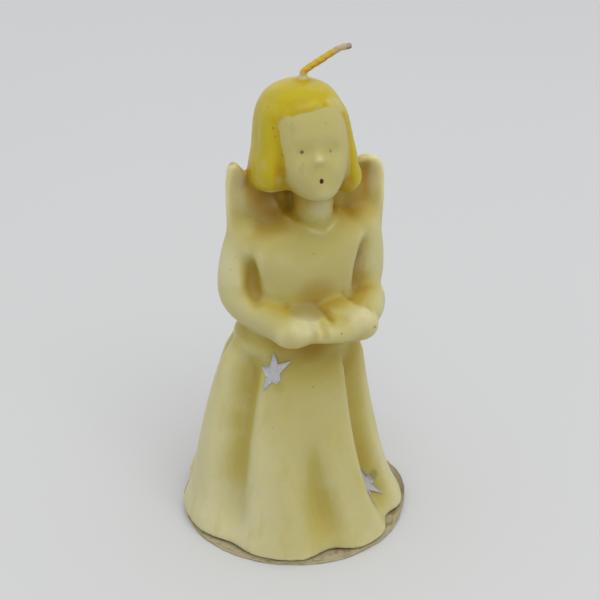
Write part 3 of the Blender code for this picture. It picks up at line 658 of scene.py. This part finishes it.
class Shade:
    # One output of a shader node, with the arithmetic that nodes can do on it.
    def __init__(self, tree, output=None):
        self.tree = tree
        self.output = output

    def node(self, kind, values=None, give=0, **settings):
        made = self.tree.nodes.new(kind)
        for name, value in settings.items():
            setattr(made, name, value)
        for key, value in (values or {}).items():
            if isinstance(value, Shade):
                self.tree.links.new(value.output, made.inputs[key])
            else:
                made.inputs[key].default_value = value
        return Shade(self.tree, made.outputs[give])

    def math(self, operation, first, second=0.0):
        return self.node("ShaderNodeMath", {0: first, 1: second}, operation=operation)

    def __add__(self, other):
        return self.math("ADD", self, other)

    def __sub__(self, other):
        return self.math("SUBTRACT", self, other)

    def __rsub__(self, other):
        return self.math("SUBTRACT", other, self)

    def __mul__(self, other):
        return self.math("MULTIPLY", self, other)

    def __truediv__(self, other):
        return self.math("DIVIDE", self, other)

    def __pow__(self, other):
        return self.math("POWER", self, other)

    __radd__ = __add__
    __rmul__ = __mul__

    def most(self, other):
        return self.math("MAXIMUM", self, other)

    def step(self, low, high):  # 0 at low, 1 at high, smooth between; low may be the higher
        return self.node("ShaderNodeMapRange", {"Value": self, "From Min": low, "From Max": high},
                         interpolation_type="SMOOTHSTEP")

    def blend(self, first, second):  # colour first where this is 0 and second where it is 1
        ends = [colour if isinstance(colour, Shade) else (*colour, 1.0) for colour in (first, second)]
        return self.node("ShaderNodeMix", {0: self, 6: ends[0], 7: ends[1]}, give=2, data_type="RGBA")

    def noise(self, scale, detail=2.0, roughness=0.5):  # self is a place, scale is per millimetre
        return self.node("ShaderNodeTexNoise", {"Vector": self, "Scale": scale, "Detail": detail,
                                                "Roughness": roughness})

    def parts(self):  # x, y and z of a place or a direction
        split = self.node("ShaderNodeSeparateXYZ", {0: self}).output.node.outputs
        return [Shade(self.tree, split[k]) for k in range(3)]

    def moved(self, offset):
        return self.node("ShaderNodeVectorMath", {0: self, 1: offset}, operation="ADD")

    def stretched(self, factors):
        return self.node("ShaderNodeVectorMath", {0: self, 1: factors}, operation="MULTIPLY")

    def away(self, point):  # distance of a place from a point
        return self.node("ShaderNodeVectorMath", {0: self, 1: point}, give="Value", operation="DISTANCE")


def newMaterial(name):
    # The material, the place on the piece in millimetres, and the shader's sockets.
    material = bpy.data.materials.new(name)
    material.use_nodes = True
    place = Shade(material.node_tree).node("ShaderNodeTexCoord", give="Object")
    place = place.node("ShaderNodeVectorMath", {0: place, "Scale": 1 / mm}, operation="SCALE")
    return material, place, material.node_tree.nodes["Principled BSDF"].inputs


def laid(colour, *layers):  # each layer is its cover and its colour, one over another
    for cover, shade in layers:
        colour = cover.blend(colour, shade)
    return colour


def joinTo(socket, shade):
    shade.tree.links.new(shade.output, socket)


def setTo(sockets, values):
    for name, value in values.items():
        sockets[name].default_value = value


def bumped(sockets, height, depth):  # height from 0 to 1 stands for depth in millimetres
    joinTo(sockets["Normal"], height.node("ShaderNodeBump", {"Strength": 1.0, "Distance": depth * mm,
                                                             "Height": height}))


wax = {
    "creamMiddle": (0.445, 0.395, 0.15), "pale": (0.57, 0.54, 0.33), "honey": (0.43, 0.365, 0.095),
    "amber": (0.41, 0.285, 0.036), "shadeBrown": (0.30, 0.165, 0.002), "grime": (0.10, 0.08, 0.04),
    "hair": (0.44, 0.355, 0.003), "hairDeep": (0.40, 0.25, 0.001), "hairPale": (0.50, 0.43, 0.12),
    "eye": (0.085, 0.08, 0.03), "eyeFaded": (0.20, 0.21, 0.17), "mouth": (0.075, 0.004, 0.003),
    "shadow": (0.29, 0.26, 0.12), "greenish": (0.30, 0.30, 0.06), "dull": (0.20, 0.165, 0.08),
    "page": (-1.2, -14.0, 2.4 * 63.2),  # middle of the book's leaf that is darkened as painted shade, on heights times 2.4
    "rubbed": (5.2, -8.0, 112.6),   # where the paint is worn thin over the forehead
    "residue": (-8.6, -13.9, 43.6), "trace": (17.3, -13.6, 9.2),  # beside the upper and lower star
    "dirt": (((-14.6, 2.4, 97.2), 1.4), ((16.9, 1.6, 94.6), 0.8), ((17.1, 1.8, 85.9), 1.0)),
    "paintedShade": (  # painted shade: brown where the shade is deepest, under the hair, in the wings, above and under the hands: place, radius, height to width, strength
        ((-6.6, -0.4, 87.8), 9.0, 1.0, 0.95), ((17.8, 1.0, 88.0), 3.4, 2.2, 0.6),
        ((2.4, -11.0, 66.0), 7.5, 0.8, 0.45), ((0.8, -12.5, 53.0), 6.5, 0.8, 0.75),
        ((15.0, 0.5, 84.0), 4.5, 1.2, 0.6)),
    "paintedLight": (  # painted light: paler where light falls, on the knuckles, the lit side of skirt and arm, beside the chest and on the neck: place and radius
        ((-3.5, -18.6, 62.6), 5.0), ((11.0, -18.5, 62.0), 5.0), ((-24.0, -14.0, 8.0), 14.0),
        ((-18.5, -1.0, 72.0), 7.0), ((15.4, -4.5, 70.0), 6.0), ((4.6, -6.0, 86.5), 4.0)),
    "specks": (  # small dark marks: place and radius
        ((-7.2, -6.8, 108.3), 0.35), ((-7.1, -7.8, 106.5), 0.22), ((-6.1, -9.8, 102.7), 0.3),
        ((-7.4, -2.7, 111.9), 0.28), ((7.2, -4.6, 114.9), 0.2), ((2.1, -8.8, 75.9), 0.2),
        ((10.1, -8.6, 73.5), 0.18), ((-15.6, -2.3, 74.7), 0.2), ((-16.9, -2.3, 71.6), 0.2),
        ((0.1, -15.1, 44.2), 0.22), ((-0.2, -15.3, 42.8), 0.26), ((1.1, -17.6, 35.0), 0.18),
        ((-10.9, -16.5, 33.8), 0.2), ((-2.1, -18.9, 27.9), 0.2), ((-19.1, -9.2, 23.0), 0.2),
        ((-15.3, -20.1, 17.4), 0.22), ((-13.4, -24.7, 8.9), 0.22), ((-26.5, -8.9, 8.4), 0.24),
        ((14.0, -19.5, 59.5), 0.45), ((4.8, -21.5, 60.4), 0.3)),
}


def waxMaterial():
    material, place, sockets = newMaterial("mouldedWax")
    known = {name: place.node("ShaderNodeAttribute", attribute_name=name, give="Fac")
             for name in ("open", "bulge", "hollow", "hairInside")}
    cloudy = place.noise(0.09, 3.0)
    grain = place.noise(0.7, 4.0, 0.6)
    open_ = known["open"] + (cloudy - 0.5) * 0.10
    hollow = known["hollow"] + (cloudy - 0.5) * 0.15
    # deep and deeper: painted shade where little sky is seen or the surface lies in a wide hollow
    deep = open_.step(0.99, 0.76).most(hollow.step(-0.05, 0.45))
    deeperShade = open_.step(0.84, 0.50).most(hollow.step(0.4, 1.5))
    x, y, z = place.parts()
    # the wings are painted paler as painted light, and kept out of the deeper painted shade
    wing = (x.step(-11.0, -13.0) + x.step(19.0, 21.0)) * y.step(-1.5, 1.0) * z.step(82.0, 88.0)
    deeperShade = deeperShade * (1 - wing * 0.9)
    # edge: where the surface bulges, painted paler as painted light
    edge = known["bulge"].step(0.05, 0.30)

    # Plain wax: cream, paler towards the sides and lower down; honey and amber are painted shade where
    # less light gets in, and the bulging edges are painted paler as painted light
    flank = (((x - 2.0) * (x - 2.0)) ** 0.5 + (cloudy - 0.5) * 6.0).step(7.0, 21.0)
    cream = (flank * 0.4 + z.step(50.0, 25.0) * 0.25).blend(wax["creamMiddle"], wax["pale"])
    colour = laid(cream, (deep, wax["honey"]), (deeperShade, wax["amber"]))
    # painted shade: brown spots where the shade is deepest
    for point, radius, tall, strength in wax["paintedShade"]:
        way = place.stretched((1.0, 0.8, 1.0 / tall)).away((point[0], 0.8 * point[1], point[2] / tall))
        shadeCore = (way + (cloudy - 0.5) * 2.0).step(radius, 0.2 * radius)
        colour = (shadeCore * strength).blend(colour, wax["shadeBrown"])
    # painted light: the wings paler
    colour = (wing * 0.5).blend(colour, wax["pale"])

    def spot(point, radius, ragged, core=0.3):  # 1 inside the core's share of the radius
        return (place.away(point) + (grain - 0.5) * ragged).step(radius, core * radius)

    # painted light: paler spots where light falls
    for point, radius in wax["paintedLight"]:
        colour = (spot(point, radius, 2.0) * 0.6).blend(colour, wax["pale"])
    streaks = place.stretched((1.0, 1.0, 0.10)).noise(0.30, 3.0)
    page = place.stretched((1.0, 1.0, 2.4)).away(wax["page"]) + (grain - 0.5) * 1.5
    # painted light on the bulging edges and painted shade in small creases and over one leaf of the book;
    # streaks, clouds and grain are the wax's own tone
    colour = laid(
        colour, (edge * 0.55, wax["pale"]),
        (streaks.step(0.52, 0.70) * z.step(60.0, 40.0) * 0.3, wax["honey"]),
        (((cloudy - 0.5) * 0.5).step(0.02, 0.30), wax["pale"]),
        (grain.step(0.60, 0.82) * 0.12, wax["grime"]),
        (known["bulge"].step(-0.10, -0.32) * 0.45, wax["shadeBrown"]),
        (page.step(4.8, 3.4) * 0.6, wax["shadow"]))

    # Painted hair, with a hand-painted edge and wear over the forehead, and painted shade where less light
    # gets in
    inside = known["hairInside"] + (place.noise(0.55, 3.0) - 0.5) * 0.9
    rubbed = place.stretched((0.62, 1.0, 1.0)).away(wax["rubbed"]).step(4.4, 0.6)
    rubbed = (rubbed + (place.noise(0.6, 4.0) - 0.5) * 1.3).step(0.30, 1.0)
    hair = laid(
        wax["hair"], (deep, wax["hairDeep"]), (inside.step(1.6, 0.2) * 0.35, wax["hairDeep"]),
        (place.noise(0.22, 4.0).step(0.52, 0.74) * 0.35, wax["hairPale"]), (rubbed * 0.8, wax["hairPale"]))
    painted = inside.step(-0.12, 0.22)
    colour = (painted * (1 - rubbed * 0.45)).blend(colour, hair)

    # Marks: eyes, mouth, smudges, specks
    for point, radius in wax["specks"]:
        colour = (spot(point, radius, 0.25, 0.45) * 0.75).blend(colour, wax["grime"])
    own = place.node("ShaderNodeMapping", {"Vector": place.moved(tuple(-v for v in head["pivot"])),
                                           "Rotation": (math.radians(head["tilt"]), 0.0, 0.0)})
    across, back, up = own.parts()
    front = back.step(-5.0, -7.0)

    def onFace(x, z, radius, tall=1.0, ragged=0.1):
        side = across - x
        height = (up - z) / tall
        way = (side * side + height * height) ** 0.5 + (grain - 0.5) * ragged
        return way.step(radius * 1.15, radius * 0.8) * front

    smudge = onFace(-4.6, -5.6, 2.4, 1.0, 3.0) * place.noise(0.5, 4.0).step(0.46, 0.66)
    mouth = onFace(-1.3, -9.1, 0.50, 1.25, 0.06)
    colour = laid(
        colour, (onFace(-4.6, 8.2, 2.6, 0.7, 3.0) * painted * 0.3, wax["hairDeep"]),
        (smudge * 0.14, wax["grime"]), (onFace(0.9, 3.9, 0.6, 0.8, 1.2) * 0.10, wax["grime"]),
        (onFace(-6.7, 3.4, 0.6, 3.0, 1.2) * 0.08, wax["grime"]),
        (onFace(-5.1, -2.1, 0.44) * 0.85, wax["eye"]), (onFace(1.6, -2.6, 0.40) * 0.75, wax["eyeFaded"]),
        (mouth, wax["mouth"]))

    # What the stars left behind on the wax, and dirt in the wings
    trace = place.stretched((1.0, 1.0, 0.8)).away(wax["trace"]) + (grain - 0.5) * 0.8
    colour = laid(colour, (spot(wax["residue"], 2.0, 1.2, 0.35) * 0.35, wax["greenish"]),
                  (trace.step(1.7, 1.0) * 0.5, wax["dull"]))
    for point, radius in wax["dirt"]:
        colour = (spot(point, radius, 1.4) * 0.5).blend(colour, wax["grime"])
    joinTo(sockets["Base Color"], colour)

    sheen = 0.40 + (place.noise(0.35, 3.0) - 0.5) * 0.16
    joinTo(sockets["Roughness"], sheen - painted * 0.06 - mouth * 0.2)
    bumped(sockets, place.noise(0.22, 3.0) * 0.75 + place.noise(1.9, 3.0) * 0.25, 0.22)
    setTo(sockets, {"Subsurface Weight": 0.85, "Subsurface Radius": (1.0, 0.8, 0.25),
                    "Subsurface Scale": 3.2 * mm, "IOR": 1.44, "Specular IOR Level": 0.32})
    return material


waxPiece = pieceFrom("waxFigure", waxMesh, waxMaterial(), "wax_figure")
print("wax figure dressed")


# Wick

def braid(way, angle):  # two soft strands that wind along the wick, and a slow unevenness
    strands = np.abs(np.cos(angle + 1.7 * way))
    return 0.92 + 0.11 * strands + 0.05 * np.sin(1.3 * way) * np.sin(0.47 * way + 1.0)


def wickShell():
    turn, radius = math.radians(wick["turn"]), wick["radius"]
    foot = figure["bottom"] + 1.0
    stations = [(wick["lean"] * share, 0.0, mixed(foot, wick["root"], share), radius, radius)
                for share in (0.0, 0.3, 0.6, 0.9, 0.97)]
    for reach, rise in wick["bend"]:
        out = reach * wick["reach"]
        thin = radius * (1.0 - 0.14 * reach ** 3)
        stations.append((wick["lean"] + out * math.cos(turn), out * math.sin(turn),
                         wick["root"] + rise * wick["rise"], thin, thin))
    return limb(stations, 420, 40, braid)


def wickMaterial():
    material, place, sockets = newMaterial("waxedWick")
    x, _, z = place.parts()
    # painted shade: the wick's underside is painted a darker orange
    undersideShade = place.node("ShaderNodeNewGeometry", give="Normal").parts()[2].step(0.15, -0.45)
    ragged = (place.noise(0.8, 3.0) - 0.5) * 3.0
    colour = undersideShade.blend((0.52, 0.36, 0.012), (0.50, 0.235, 0.006))
    colour = (z - wick["root"] + ragged * 0.3).step(1.4, 0.4).blend(colour, (0.50, 0.40, 0.14))
    bare = (x + ragged * 0.5).step(8.2, 9.4)
    colour = bare.blend(colour, (0.42, 0.34, 0.20))
    # the burnt tip is dark, darker still on its underside as painted shade
    colour = ((x + ragged * 0.2).step(11.0, 12.2) * undersideShade.most(0.35)).blend(colour, (0.07, 0.055, 0.045))
    colour = (place.noise(1.6, 4.0).step(0.55, 0.75) * 0.3).blend(colour, (0.30, 0.18, 0.03))
    joinTo(sockets["Base Color"], colour)
    joinTo(sockets["Roughness"], 0.45 + bare * 0.3)
    bumped(sockets, place.noise(3.0, 3.0), 0.10)
    setTo(sockets, {"Subsurface Weight": 0.3, "Subsurface Radius": (1.0, 0.5, 0.15),
                    "Subsurface Scale": 0.8 * mm})
    return material


pieceFrom("wickBraid", meshOf("wickBraid", [wickShell()]), wickMaterial(), "wick")


# Card disc

card = {
    "radius": 29.7, "bow": 0.45, "bowTurn": -22.0, "ply": 0.44, "thickness": 0.8,
    "rim": 3.0, "curl": 2.2, "curlTurn": 78.0, "curlSpread": 26.0, "columns": 720,
}


def torn(angle, pitch, seed):
    # A ragged line round the edge: sines of rising pitch, each half as strong as the last.
    phases = np.random.default_rng(seed).uniform(0, 2 * math.pi, 6)
    return sum(np.sin(np.round(pitch * 1.9 ** k) * angle + phases[k]) * 0.6 ** k for k in range(6))


def discShell():
    # Rings from the middle of the underside round the edge to the middle of the top. The card
    # has two plies, the upper one torn further back, and the rim curls up at one side.
    angle = anglesRound(card["columns"])
    degrees = (np.degrees(angle) + 180) % 360 - 180
    bow = card["bow"] * np.cos(angle - math.radians(card["bowTurn"]))
    lower = card["radius"] + bow + 0.13 * torn(angle, 5, 3)
    upper = lower - 0.45 - 0.30 * torn(angle, 9, 8) * (torn(angle, 3, 4) > 0) - 0.12 * torn(angle, 17, 5)
    upper = np.minimum(upper, lower - 0.06)
    curl = card["curl"] * hill(degrees - card["curlTurn"], card["curlSpread"])
    buckle = 0.16 * torn(angle, 7, 11)
    ply, top = card["ply"], card["thickness"]
    start = card["radius"] - card["rim"]
    profile = ((0.3 * start, 0.0), (0.8 * start, 0.0), (start, 0.0), (lower - 1.4, 0.0),
               (lower - 0.5, 0.02), (lower - 0.08, 0.06), (lower, 0.2), (lower - 0.06, ply - 0.1),
               (lower - 0.2, ply - 0.02), (upper + 0.02, ply), (upper, ply + 0.08),
               (upper - 0.03, top - 0.12), (upper - 0.14, top), (lower - 1.8, top), (start, top),
               (0.8 * start, top), (0.3 * start, top))
    rings = []
    for radius, height in profile:
        radius = radius + 0 * angle
        share = np.clip((radius - start) / card["rim"], 0.0, 1.05)
        lift = (curl + np.maximum(buckle, -0.05) * (height > 0.1)) * share ** 3
        pulled = radius - 0.25 * lift
        rings.append(np.stack([pulled * np.sin(angle), -pulled * np.cos(angle), height + lift], -1))
    return np.stack(rings)


def cardMaterial():
    material, place, sockets = newMaterial("tornCard")
    fibres = place.stretched((1.0, 1.0, 3.0)).noise(1.3, 5.0, 0.65)
    layers = place.stretched((0.35, 0.35, 5.0)).noise(1.0, 4.0)
    colour = fibres.blend((0.30, 0.25, 0.14), (0.43, 0.37, 0.22))
    colour = (layers.step(0.52, 0.66) * 0.7).blend(colour, (0.20, 0.145, 0.075))
    colour = (place.noise(0.25, 3.0).step(0.55, 0.72) * 0.5).blend(colour, (0.23, 0.18, 0.10))
    joinTo(sockets["Base Color"], colour)
    joinTo(sockets["Roughness"], 0.75 + fibres * 0.2)
    bumped(sockets, fibres * 0.6 + layers * 0.4, 0.25)
    return material


pieceFrom("cardDisc", meshOf("cardDisc", [discShell()]), cardMaterial(), "base_disc")


# Foil stars

star = {
    "radius": 5.1, "notch": 0.4, "lift": 0.10, "thickness": 0.12,
    "outFoot": 23.5, "outTop": 0.72, "standOff": 9.0,  # where a star starts on its way to the wax
    "upper": {"place": -39.0, "facing": -48.0, "level": 46.9, "turn": 12.0, "wrap": 0.74,
              "cut": (9.0, 9.0, 9.0, 0.60, 9.0), "peel": (0.1, 0.25, 0.1, 0.0, 0.1)},
    "lower": {"place": 45.5, "facing": 30.0, "level": 10.0, "turn": 10.0, "wrap": 0.9,
              "cut": (9.0, 9.0, 9.0, 9.0, 0.42), "peel": (0.35, 0.1, 0.1, 0.3, 0.2)},
}


def starMesh(name, place):
    # A star by angle and share of the way out. Between a tip and a notch its edge is straight:
    # radius = tip * notch * sin 36 / (tip * sin a + notch * sin (36 - a)), with a from the tip.
    # A cut arm ends on a line square to it.
    angle = anglesRound(200)
    arm = np.round(angle / (2 * math.pi / 5)).astype(int) % 5  # number of the arm, counted from 0
    half = math.pi / 5
    a = np.abs((angle + half) % (2 * half) - half)
    tip, notch = star["radius"], star["notch"] * star["radius"]
    edge = tip * notch * math.sin(half) / (tip * np.sin(a) + notch * np.sin(half - a))
    edge = np.minimum(edge, np.array(place["cut"])[arm] * tip / np.cos(a))
    share = np.linspace(0.06, 1.0, 14)[:, None]
    aim = angle + math.pi / 2 + math.radians(place["turn"])
    way = share * edge
    flat = np.stack([place["wrap"] * share * edge * np.cos(aim), way * np.sin(aim), 0 * way], -1)
    count = len(angle)
    quads = quadsBetween(len(share), count)[:, [0, 3, 2, 1]]  # turned to face outwards
    hub = len(share) * count
    fan = np.stack([np.full(count, hub), np.arange(count), (np.arange(count) + 1) % count], -1)
    mesh = bpy.data.meshes.new(name)
    points = np.vstack([flat.reshape(-1, 3), (0.0, 0.0, 0.0)]) * mm
    mesh.from_pydata(points, [], quads.tolist() + fan.tolist())

    # It is pressed on the wax from where it faces, and its tips peel off a little.
    facing, turn = math.radians(place["facing"]), math.radians(place["place"])
    away = np.array([math.sin(facing), -math.cos(facing), 0.0])
    side = np.array([math.cos(facing), math.sin(facing), 0.0])
    height = (place["level"] - figure["bottom"]) / figure["skirtHeight"]
    out = star["outFoot"] * mixed(1.0, star["outTop"], height)
    middle = np.array([out * math.sin(turn), -out * math.cos(turn), place["level"]])
    middle = middle + star["standOff"] * away
    axes = np.stack([side, (0.0, 0.0, 1.0), away], 1)
    matrix = np.eye(4)
    matrix[:3, :3], matrix[:3, 3] = axes, middle * mm
    pressed = objectOf(name, mesh)
    pressed.matrix_world = Matrix(matrix.tolist())
    bpy.context.view_layer.update()
    wrap = pressed.modifiers.new("onWax", "SHRINKWRAP")
    wrap.target = waxPiece
    wrap.wrap_method, wrap.wrap_mode = "PROJECT", "ABOVE_SURFACE"
    wrap.use_project_z, wrap.use_negative_direction, wrap.use_positive_direction = True, True, False
    wrap.offset = star["lift"] * mm
    done = finished(pressed)
    bpy.data.objects.remove(pressed)
    peel = eased((share - 0.5) / 0.5) ** 2 * np.array(place["peel"])[arm]
    points = pointsOf(done)
    points[:, 2] += np.append((star["thickness"] + peel).ravel(), 0.1)
    setPoints(done, points @ axes.T + middle)
    return done


def foilMaterial(name, tint):
    material, place, sockets = newMaterial(name)
    scratches = place.stretched((2.6, 2.6, 0.5)).noise(1.5, 3.0, 0.7).step(0.58, 0.70)
    rubbed = place.noise(0.9, 4.0).step(0.50, 0.68)
    colour = (rubbed * 0.6).blend(tint, (0.40, 0.39, 0.38))
    colour = (scratches * 0.7).blend(colour, (0.86, 0.86, 0.88))
    joinTo(sockets["Base Color"], colour)
    joinTo(sockets["Roughness"], 0.34 + rubbed * 0.22)
    joinTo(sockets["Metallic"], 1.0 - rubbed * 0.25)
    bumped(sockets, scratches * 0.5 + place.noise(1.4, 2.0) * 0.5, 0.06)
    return material


for which, tint in (("upper", (0.43, 0.43, 0.445)), ("lower", (0.47, 0.45, 0.43))):
    name = "star" + which.capitalize()
    foil = foilMaterial(name + "Foil", tint)
    piece = pieceFrom(name, starMesh(name, star[which]), foil, "star_" + which, smooth=False)
    sheet = piece.modifiers.new("sheet", "SOLIDIFY")
    sheet.thickness = star["thickness"] * mm
    sheet.offset = -1.0
print("wick, card and stars made")


# Light, floor and camera

view = {"turn": -18.0, "lift": 28.2, "distance": 0.310, "height": 0.2255, "aside": 0.00135, "lens": 84.72}


def addCamera():
    turn, lift = math.radians(view["turn"]), math.radians(view["lift"])
    right = np.array([math.cos(turn), math.sin(turn), 0.0])
    ahead = np.array([-math.sin(turn), math.cos(turn), 0.0])
    up = np.array([0.0, 0.0, 1.0])
    place = right * view["aside"] - ahead * view["distance"] + up * view["height"]
    look = ahead * math.cos(lift) - up * math.sin(lift)
    over = ahead * math.sin(lift) + up * math.cos(lift)
    lens = bpy.data.cameras.new("camera")
    lens.sensor_width = 36.0
    lens.lens = view["lens"]
    lens.clip_start = 0.01
    camera = objectOf("camera", lens)
    matrix = np.eye(4)
    matrix[:3, 0], matrix[:3, 1], matrix[:3, 2], matrix[:3, 3] = right, over, -look, place
    camera.matrix_world = Matrix(matrix.tolist())
    bpy.context.scene.camera = camera


addCamera()
floorMesh = bpy.data.meshes.new("floor")
floorMesh.from_pydata([(-2, -2, 0), (2, -2, 0), (2, 2, 0), (-2, 2, 0)], [], [(0, 1, 2, 3)])
floor = objectOf("floor", floorMesh)
paper, paperPlace, paperSockets = newMaterial("palePaper")
paperColour = paperPlace.noise(0.004, 2.0).blend((0.55, 0.55, 0.55), (0.58, 0.575, 0.575))
joinTo(paperSockets["Base Color"], paperColour)
setTo(paperSockets, {"Roughness": 0.85})
floorMesh.materials.append(paper)

world = bpy.data.worlds.new("world")
world.use_nodes = True
setTo(world.node_tree.nodes["Background"].inputs, {"Color": (0.97, 0.985, 1.0, 1.0), "Strength": 0.87})
bpy.context.scene.world = world


def addLamp(name, place, size, power, aim=(0.0, 0.0, 0.06)):
    lamp = bpy.data.lights.new(name, "AREA")
    lamp.size = size
    lamp.energy = power
    thing = objectOf(name, lamp)
    away = Vector(place) - Vector(aim)
    thing.location = place
    thing.rotation_euler = away.to_track_quat("Z", "Y").to_euler()


addLamp("window", (0.05, -0.65, 1.40), 1.1, 9.5)

bpy.context.scene.view_settings.view_transform = "Standard"
